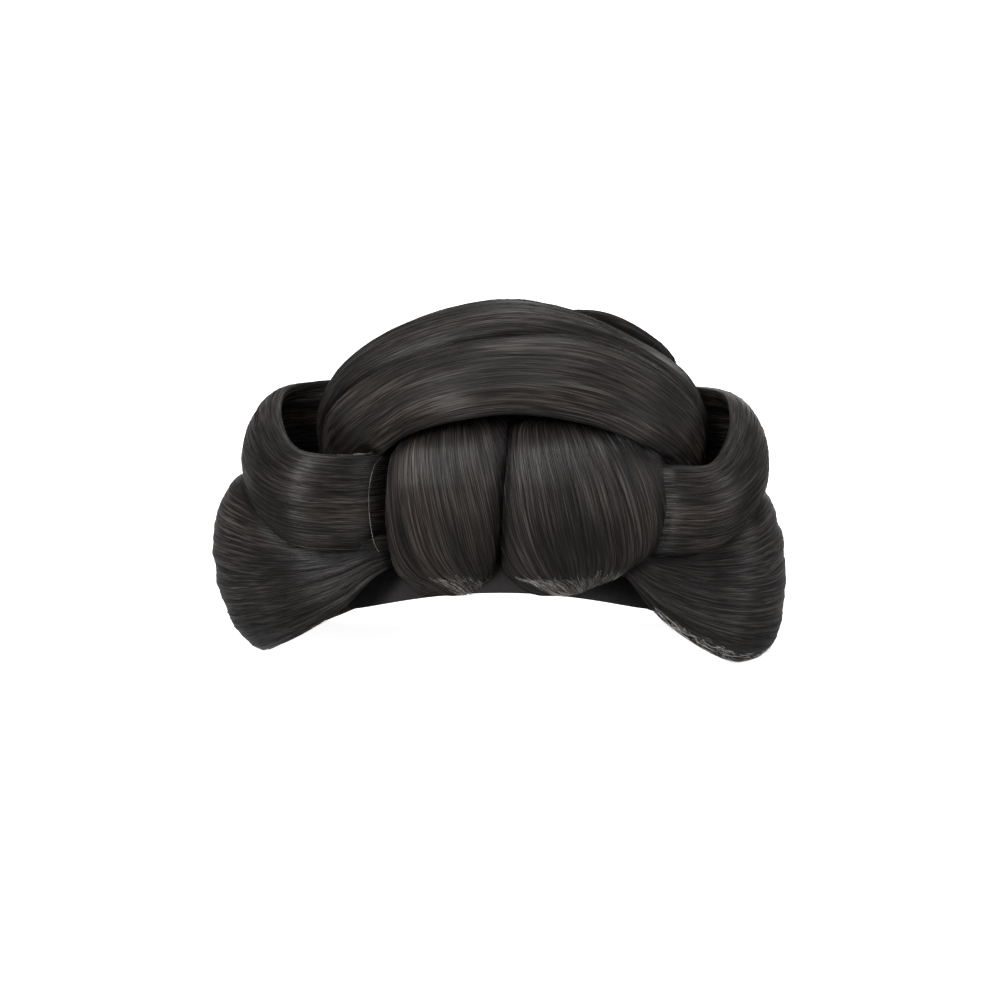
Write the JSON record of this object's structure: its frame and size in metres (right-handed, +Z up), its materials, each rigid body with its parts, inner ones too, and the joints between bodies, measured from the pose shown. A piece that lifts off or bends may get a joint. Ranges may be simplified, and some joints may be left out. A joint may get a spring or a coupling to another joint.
{
  "type": "hanfu wig hairpiece",
  "caption": "Dressed bow-shaped hairpiece: padded buns under arched rolls, looped and fanned hair at the sides, on an open domed cap with a comb.",
  "frame": {"origin": "on the table under the middle of the piece's box", "axes": "+X to the right seen from the front, +Y to the back of the head, +Z up"},
  "size_m": [0.2514, 0.1024, 0.1555],
  "materials": {
    "hair": "brushed very dark brown synthetic hair, soft sheen along the strands",
    "cap_net": "matt black-brown wig net",
    "comb": "plain dark plastic"
  },
  "bodies": {
    "root": {"cap": "cap_net", "comb": "comb", "bun_left": "hair", "bun_right": "hair", "loop_left": "hair", "loop_right": "hair", "wing_left": "hair", "wing_right": "hair", "crown_roll": "hair", "front_roll": "hair", "back_roll": "hair"}
  },
  "joints": []
}
